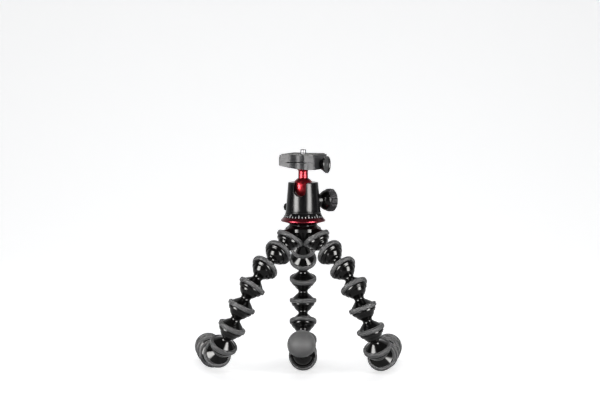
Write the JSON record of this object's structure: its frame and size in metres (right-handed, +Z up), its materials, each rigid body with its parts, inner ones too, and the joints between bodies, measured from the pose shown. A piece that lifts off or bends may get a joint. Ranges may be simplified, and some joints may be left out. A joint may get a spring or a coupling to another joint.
{
  "type": "flexible leg tripod",
  "caption": "Flexible tripod: ball-jointed chain legs with rubber rings and feet, a hub, and a ball head with a screw clamp and a quick-release camera plate.",
  "frame": {"origin": "centre of the bottom face of the box round the whole tripod, on the floor it stands on", "axes": "+Z up along the camera screw, -Y towards the viewer of the picture, +X to the viewer's right"},
  "size_m": [0.2516, 0.1544, 0.2591],
  "materials": {
    "link_plastic": "glossy black moulded links",
    "hub_plastic": "glossy black hub",
    "grip_rubber": "grey rubber",
    "knob_rubber": "dark grey rubber grip",
    "red_anodised": "bright red gloss",
    "housing_black": "glossy black lacquer",
    "scale_black": "black with white scale marks",
    "knob_black": "glossy black",
    "knob_grey": "dark grey",
    "steel": "bare steel",
    "satin_alu": "satin grey anodised aluminium",
    "seat_plastic": "pale low-friction plastic",
    "pad_rubber": "black rubber pad"
  },
  "bodies": {
    "hub": {"hub_body": "hub_plastic", "hub_grip_rings": "grip_rubber", "hub_lid": "hub_plastic", "hub_stud": "steel", "hub_lid_screws": "steel", "pan_base": "red_anodised", "pan_scale_ring": "scale_black", "pan_spindle": "steel"},
    "left_link_1": {"left_leg_link_1": "link_plastic"},
    "left_link_2": {"left_leg_link_2": "link_plastic"},
    "left_link_3": {"left_leg_link_3": "link_plastic"},
    "left_link_4": {"left_leg_link_4": "link_plastic"},
    "left_link_5": {"left_leg_link_5": "link_plastic"},
    "left_link_6": {"left_leg_link_6": "link_plastic"},
    "left_link_7": {"left_leg_link_7": "link_plastic"},
    "left_link_8": {"left_leg_link_8": "link_plastic"},
    "left_link_9": {"left_leg_link_9": "link_plastic"},
    "left_foot": {"left_foot_core": "link_plastic", "left_foot_dome": "grip_rubber"},
    "right_link_1": {"right_leg_link_1": "link_plastic"},
    "right_link_2": {"right_leg_link_2": "link_plastic"},
    "right_link_3": {"right_leg_link_3": "link_plastic"},
    "right_link_4": {"right_leg_link_4": "link_plastic"},
    "right_link_5": {"right_leg_link_5": "link_plastic"},
    "right_link_6": {"right_leg_link_6": "link_plastic"},
    "right_link_7": {"right_leg_link_7": "link_plastic"},
    "right_link_8": {"right_leg_link_8": "link_plastic"},
    "right_link_9": {"right_leg_link_9": "link_plastic"},
    "right_foot": {"right_foot_core": "link_plastic", "right_foot_dome": "grip_rubber"},
    "rear_link_1": {"rear_leg_link_1": "link_plastic"},
    "rear_link_2": {"rear_leg_link_2": "link_plastic"},
    "rear_link_3": {"rear_leg_link_3": "link_plastic"},
    "rear_link_4": {"rear_leg_link_4": "link_plastic"},
    "rear_link_5": {"rear_leg_link_5": "link_plastic"},
    "rear_link_6": {"rear_leg_link_6": "link_plastic"},
    "rear_link_7": {"rear_leg_link_7": "link_plastic"},
    "rear_link_8": {"rear_leg_link_8": "link_plastic"},
    "rear_link_9": {"rear_leg_link_9": "link_plastic"},
    "rear_foot": {"rear_foot_core": "link_plastic", "rear_foot_dome": "grip_rubber"},
    "head": {"head_housing": "housing_black", "ball_seat": "seat_plastic", "pressure_wedge": "seat_plastic"},
    "lock_knob": {"lock_knob_shaft": "steel", "lock_knob_core": "knob_black", "lock_knob_grip": "knob_rubber"},
    "pan_lock": {"pan_lock_screw": "steel", "pan_lock_knob": "knob_black"},
    "ball": {"ball": "red_anodised"},
    "platform": {"ball_stem": "red_anodised", "clamp_bolt": "steel", "clamp_body": "satin_alu"},
    "jaw": {"clamp_jaw": "satin_alu", "jaw_guide_pins": "steel"},
    "clamp_knob": {"clamp_screw": "steel", "clamp_knob": "knob_grey"},
    "plate": {"camera_plate": "satin_alu", "plate_pad": "pad_rubber"},
    "camera_screw": {"camera_screw": "steel"}
  },
  "joints": [
    {"name": "left_ball_joint_1", "type": "hinge", "parent": "hub", "child": "left_link_1", "pos_m": [-0.01118, -0.0149, 0.15298], "axis": [0.7821, 0.0701, -0.6192], "range_deg": [-8, 62]},
    {"name": "left_ball_joint_2", "type": "hinge", "parent": "left_link_1", "child": "left_link_2", "pos_m": [-0.02483, -0.03305, 0.13931], "axis": [-0.7399, 0.0512, 0.6708], "range_deg": [-29, 46]},
    {"name": "left_ball_joint_3", "type": "hinge", "parent": "left_link_2", "child": "left_link_3", "pos_m": [-0.04003, -0.04812, 0.1237], "axis": [0.8183, -0.3649, -0.4441], "range_deg": [-60, 16]},
    {"name": "left_ball_joint_4", "type": "hinge", "parent": "left_link_3", "child": "left_link_4", "pos_m": [-0.05446, -0.05462, 0.10244], "axis": [-0.7377, 0.5949, 0.3191], "range_deg": [-24, 51]},
    {"name": "left_ball_joint_5", "type": "hinge", "parent": "left_link_4", "child": "left_link_5", "pos_m": [-0.06608, -0.05628, 0.07868], "axis": [0.8936, -0.1372, -0.4273], "range_deg": [-45, 30]},
    {"name": "left_ball_joint_6", "type": "hinge", "parent": "left_link_5", "child": "left_link_6", "pos_m": [-0.07728, -0.05461, 0.05473], "axis": [-0.9035, 0.0494, 0.4258], "range_deg": [-18, 57]},
    {"name": "left_ball_joint_7", "type": "hinge", "parent": "left_link_6", "child": "left_link_7", "pos_m": [-0.08721, -0.04422, 0.03246], "axis": [0.9269, 0.1368, -0.3494], "range_deg": [-69, 7]},
    {"name": "left_ball_joint_8", "type": "hinge", "parent": "left_link_7", "child": "left_link_8", "pos_m": [-0.09539, -0.02285, 0.0191], "axis": [-0.947, -0.2121, 0.2413], "range_deg": [-12, 63]},
    {"name": "left_ball_joint_9", "type": "hinge", "parent": "left_link_8", "child": "left_link_9", "pos_m": [-0.10181, 0.00272, 0.01641], "axis": [0.808, 0.1425, -0.5717], "range_deg": [-45, 31]},
    {"name": "left_ball_joint_10", "type": "hinge", "parent": "left_link_9", "child": "left_foot", "pos_m": [-0.10641, 0.02882, 0.01641], "axis": [-0.6871, -0.0966, 0.7201], "range_deg": [-36, 39]},
    {"name": "right_ball_joint_1", "type": "hinge", "parent": "hub", "child": "right_link_1", "pos_m": [0.02294, -0.0149, 0.15298], "axis": [-0.8149, -0.0976, -0.5713], "range_deg": [-60, 11]},
    {"name": "right_ball_joint_2", "type": "hinge", "parent": "right_link_1", "child": "right_link_2", "pos_m": [0.03852, -0.03133, 0.1392], "axis": [0.7305, 0.6829, 0.0118], "range_deg": [-44, 32]},
    {"name": "right_ball_joint_3", "type": "hinge", "parent": "right_link_2", "child": "right_link_3", "pos_m": [0.05295, -0.04648, 0.12295], "axis": [0.7938, 0.5877, 0.1568], "range_deg": [-51, 25]},
    {"name": "right_ball_joint_4", "type": "hinge", "parent": "right_link_3", "child": "right_link_4", "pos_m": [0.06539, -0.05783, 0.10248], "axis": [-0.8551, -0.4383, -0.2769], "range_deg": [-17, 59]},
    {"name": "right_ball_joint_5", "type": "hinge", "parent": "right_link_4", "child": "right_link_5", "pos_m": [0.07489, -0.06084, 0.07793], "axis": [-0.9257, -0.1717, -0.3369], "range_deg": [-31, 44]},
    {"name": "right_ball_joint_6", "type": "hinge", "parent": "right_link_5", "child": "right_link_6", "pos_m": [0.08395, -0.06084, 0.05303], "axis": [0.9374, 0.0703, 0.3412], "range_deg": [-60, 16]},
    {"name": "right_ball_joint_7", "type": "hinge", "parent": "right_link_6", "child": "right_link_7", "pos_m": [0.0917, -0.05094, 0.0297], "axis": [0.956, -0.0895, 0.2795], "range_deg": [-73, 3]},
    {"name": "right_ball_joint_8", "type": "hinge", "parent": "right_link_7", "child": "right_link_8", "pos_m": [0.09766, -0.02881, 0.0164], "axis": [-0.9736, 0.1717, -0.1507], "range_deg": [-7, 68]},
    {"name": "right_ball_joint_9", "type": "hinge", "parent": "right_link_8", "child": "right_link_9", "pos_m": [0.10226, -0.00271, 0.0164], "axis": [-0.9687, 0.1361, -0.2076], "range_deg": [-38, 38]},
    {"name": "right_ball_joint_10", "type": "hinge", "parent": "right_link_9", "child": "right_foot", "pos_m": [0.10641, 0.02346, 0.0164], "axis": [0, 0, -1], "range_deg": [-37, 39]},
    {"name": "rear_ball_joint_1", "type": "hinge", "parent": "hub", "child": "rear_link_1", "pos_m": [0.00588, 0.01465, 0.15298], "axis": [-1, 0, 0], "range_deg": [-12, 64]},
    {"name": "rear_ball_joint_2", "type": "hinge", "parent": "rear_link_1", "child": "rear_link_2", "pos_m": [0.00588, 0.03736, 0.13933], "axis": [-1, 0, 0], "range_deg": [-54, 22]},
    {"name": "rear_ball_joint_3", "type": "hinge", "parent": "rear_link_2", "child": "rear_link_3", "pos_m": [0.00588, 0.05543, 0.11995], "axis": [1, 0, 0], "range_deg": [-9, 67]},
    {"name": "rear_ball_joint_4", "type": "hinge", "parent": "rear_link_3", "child": "rear_link_4", "pos_m": [0.00588, 0.06184, 0.09424], "axis": [-1, 0, 0], "range_deg": [-56, 20]},
    {"name": "rear_ball_joint_5", "type": "hinge", "parent": "rear_link_4", "child": "rear_link_5", "pos_m": [0.00588, 0.06, 0.06781], "axis": [1, 0, 0], "range_deg": [-17, 59]},
    {"name": "rear_ball_joint_6", "type": "hinge", "parent": "rear_link_5", "child": "rear_link_6", "pos_m": [0.00588, 0.0488, 0.04379], "axis": [-1, 0, 0], "range_deg": [-57, 19]},
    {"name": "rear_ball_joint_7", "type": "hinge", "parent": "rear_link_6", "child": "rear_link_7", "pos_m": [0.00588, 0.03039, 0.02473], "axis": [1, 0, 0], "range_deg": [-13, 63]},
    {"name": "rear_ball_joint_8", "type": "hinge", "parent": "rear_link_7", "child": "rear_link_8", "pos_m": [0.00588, 0.00565, 0.01523], "axis": [-1, 0, 0], "range_deg": [-62, 14]},
    {"name": "rear_ball_joint_9", "type": "hinge", "parent": "rear_link_8", "child": "rear_link_9", "pos_m": [0.00588, -0.02082, 0.01662], "axis": [0.9958, 0.0048, 0.091], "range_deg": [-27, 49]},
    {"name": "rear_ball_joint_10", "type": "hinge", "parent": "rear_link_9", "child": "rear_foot", "pos_m": [0.00542, -0.04652, 0.02303], "axis": [-0.995, -0.007, -0.0999], "range_deg": [-72, 4]},
    {"name": "head_pan", "type": "hinge", "parent": "hub", "child": "head", "pos_m": [0.00588, -0.00505, 0.18448], "axis": [0, 0, 1], "continuous": true},
    {"name": "lock_knob_turn", "type": "hinge", "parent": "head", "child": "lock_knob", "pos_m": [0.00588, -0.00505, 0.19818], "axis": [0.891, 0.454, 0], "range_deg": [0, 270]},
    {"name": "pan_lock_turn", "type": "hinge", "parent": "head", "child": "pan_lock", "pos_m": [0.00588, -0.00505, 0.18998], "axis": [-0.766, 0.6428, 0], "range_deg": [0, 270]},
    {"name": "ball_tilt", "type": "hinge", "parent": "head", "child": "ball", "pos_m": [0.00588, -0.00505, 0.21438], "axis": [-0.9744, 0.225, 0], "range_deg": [-90, 30]},
    {"name": "platform_spin", "type": "hinge", "parent": "ball", "child": "platform", "pos_m": [0.00588, -0.00505, 0.23638], "axis": [0, 0, 1], "continuous": true},
    {"name": "jaw_slide", "type": "slide", "parent": "platform", "child": "jaw", "axis": [0.9205, -0.3907, 0], "range_m": [0, 0.003]},
    {"name": "clamp_knob_turn", "type": "hinge", "parent": "jaw", "child": "clamp_knob", "pos_m": [0.00588, -0.00505, 0.24178], "axis": [0.9205, -0.3907, 0], "range_deg": [0, 720]},
    {"name": "plate_slide", "type": "slide", "parent": "platform", "child": "plate", "axis": [0.3907, 0.9205, 0], "range_m": [-0.012, 0.012]},
    {"name": "camera_screw_turn", "type": "hinge", "parent": "plate", "child": "camera_screw", "pos_m": [0.00588, -0.00505, 0.25298], "axis": [0, 0, 1], "continuous": true}
  ],
  "couplings": [
    {"joint": "clamp_knob_turn", "follows": "jaw_slide", "rad_per_m": 4188.8}
  ]
}
